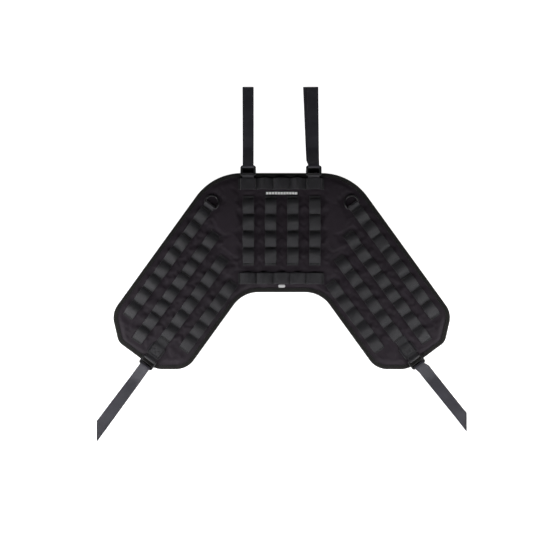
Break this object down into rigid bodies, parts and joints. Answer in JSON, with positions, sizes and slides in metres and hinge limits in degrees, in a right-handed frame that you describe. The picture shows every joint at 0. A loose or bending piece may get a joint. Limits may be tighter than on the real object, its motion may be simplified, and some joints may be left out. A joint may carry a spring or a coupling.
{
  "type": "breastplate",
  "caption": "Padded black fabric breast panel with swept wings, rows of webbing loops, clip rings near its corners, and webbing straps for the neck and girth.",
  "frame": {"origin": "on the surface that the panel lies on, under the middle of the whole outline", "axes": "+Z out of the face of the panel, +Y towards the neck straps, +X to the right as seen from the front"},
  "size_m": [0.851, 0.8142, 0.0184],
  "materials": {
    "face": "coated plain-weave nylon, matt",
    "lining": "soft spacer mesh, matt",
    "foam": "closed-cell foam, matt",
    "binding": "folded binding tape, matt",
    "webbing": "woven nylon webbing, slight sheen",
    "strap": "cross-ribbed woven webbing, slight sheen",
    "moulding": "moulded black acetal, satin",
    "label": "printed woven tape, matt"
  },
  "bodies": {
    "panel": {"face_fabric": "face", "foam_core": "foam", "back_lining": "lining", "edge_binding": "binding", "top_row_webbing": "webbing", "bottom_row_webbing": "webbing", "centre_column_1": "webbing", "centre_column_2": "webbing", "centre_column_3": "webbing", "centre_column_4": "webbing", "left_wing_row_1": "webbing", "left_wing_row_2": "webbing", "left_wing_row_3": "webbing", "left_wing_row_4": "webbing", "left_d_ring_tab": "webbing", "left_upper_ring_tab": "webbing", "left_wear_plate": "moulding", "left_lower_ring_tab": "webbing", "left_upper_ring_guard": "webbing", "left_lower_ring_guard": "webbing", "right_wing_row_1": "webbing", "right_wing_row_2": "webbing", "right_wing_row_3": "webbing", "right_wing_row_4": "webbing", "right_d_ring_tab": "webbing", "right_upper_ring_tab": "webbing", "right_wear_plate": "moulding", "right_lower_ring_tab": "webbing", "right_upper_ring_guard": "webbing", "right_lower_ring_guard": "webbing", "front_label": "label", "size_tag": "label"},
    "left_d_ring": {"left_d_ring": "moulding"},
    "left_upper_ring": {"left_upper_ring": "moulding"},
    "left_upper_strap": {"left_upper_strap": "strap"},
    "left_lower_ring": {"left_lower_ring": "moulding"},
    "left_lower_strap": {"left_lower_strap": "strap"},
    "right_d_ring": {"right_d_ring": "moulding"},
    "right_upper_ring": {"right_upper_ring": "moulding"},
    "right_upper_strap": {"right_upper_strap": "strap"},
    "right_lower_ring": {"right_lower_ring": "moulding"},
    "right_lower_strap": {"right_lower_strap": "strap"}
  },
  "joints": [
    {"name": "left_d_ring_flip", "type": "hinge", "parent": "panel", "child": "left_d_ring", "pos_m": [-0.1643, 0.13542, 0.0129], "axis": [0.8049, -0.5934, 0], "range_deg": [0, 150]},
    {"name": "left_upper_ring_flip", "type": "hinge", "parent": "panel", "child": "left_upper_ring", "pos_m": [-0.077, 0.2043, 0.0144], "axis": [1, 0, 0], "range_deg": [-6, 110]},
    {"name": "left_upper_strap_swing", "type": "hinge", "parent": "left_upper_ring", "child": "left_upper_strap", "pos_m": [-0.077, 0.2237, 0.0144], "axis": [1, 0, 0], "range_deg": [-55, 70]},
    {"name": "left_lower_ring_flip", "type": "hinge", "parent": "panel", "child": "left_lower_ring", "pos_m": [-0.30158, -0.21796, 0.0144], "axis": [-0.8049, 0.5934, 0], "range_deg": [-6, 110]},
    {"name": "left_lower_strap_swing", "type": "hinge", "parent": "left_lower_ring", "child": "left_lower_strap", "pos_m": [-0.31309, -0.23358, 0.0144], "axis": [-0.8049, 0.5934, 0], "range_deg": [-55, 70]},
    {"name": "right_d_ring_flip", "type": "hinge", "parent": "panel", "child": "right_d_ring", "pos_m": [0.1643, 0.13542, 0.0129], "axis": [0.8049, 0.5934, 0], "range_deg": [0, 150]},
    {"name": "right_upper_ring_flip", "type": "hinge", "parent": "panel", "child": "right_upper_ring", "pos_m": [0.0735, 0.2043, 0.0144], "axis": [1, 0, 0], "range_deg": [-6, 110]},
    {"name": "right_upper_strap_swing", "type": "hinge", "parent": "right_upper_ring", "child": "right_upper_strap", "pos_m": [0.0735, 0.2237, 0.0144], "axis": [1, 0, 0], "range_deg": [-55, 70]},
    {"name": "right_lower_ring_flip", "type": "hinge", "parent": "panel", "child": "right_lower_ring", "pos_m": [0.30359, -0.21648, 0.0144], "axis": [-0.8049, -0.5934, 0], "range_deg": [-6, 110]},
    {"name": "right_lower_strap_swing", "type": "hinge", "parent": "right_lower_ring", "child": "right_lower_strap", "pos_m": [0.31511, -0.23209, 0.0144], "axis": [-0.8049, -0.5934, 0], "range_deg": [-55, 70]}
  ]
}
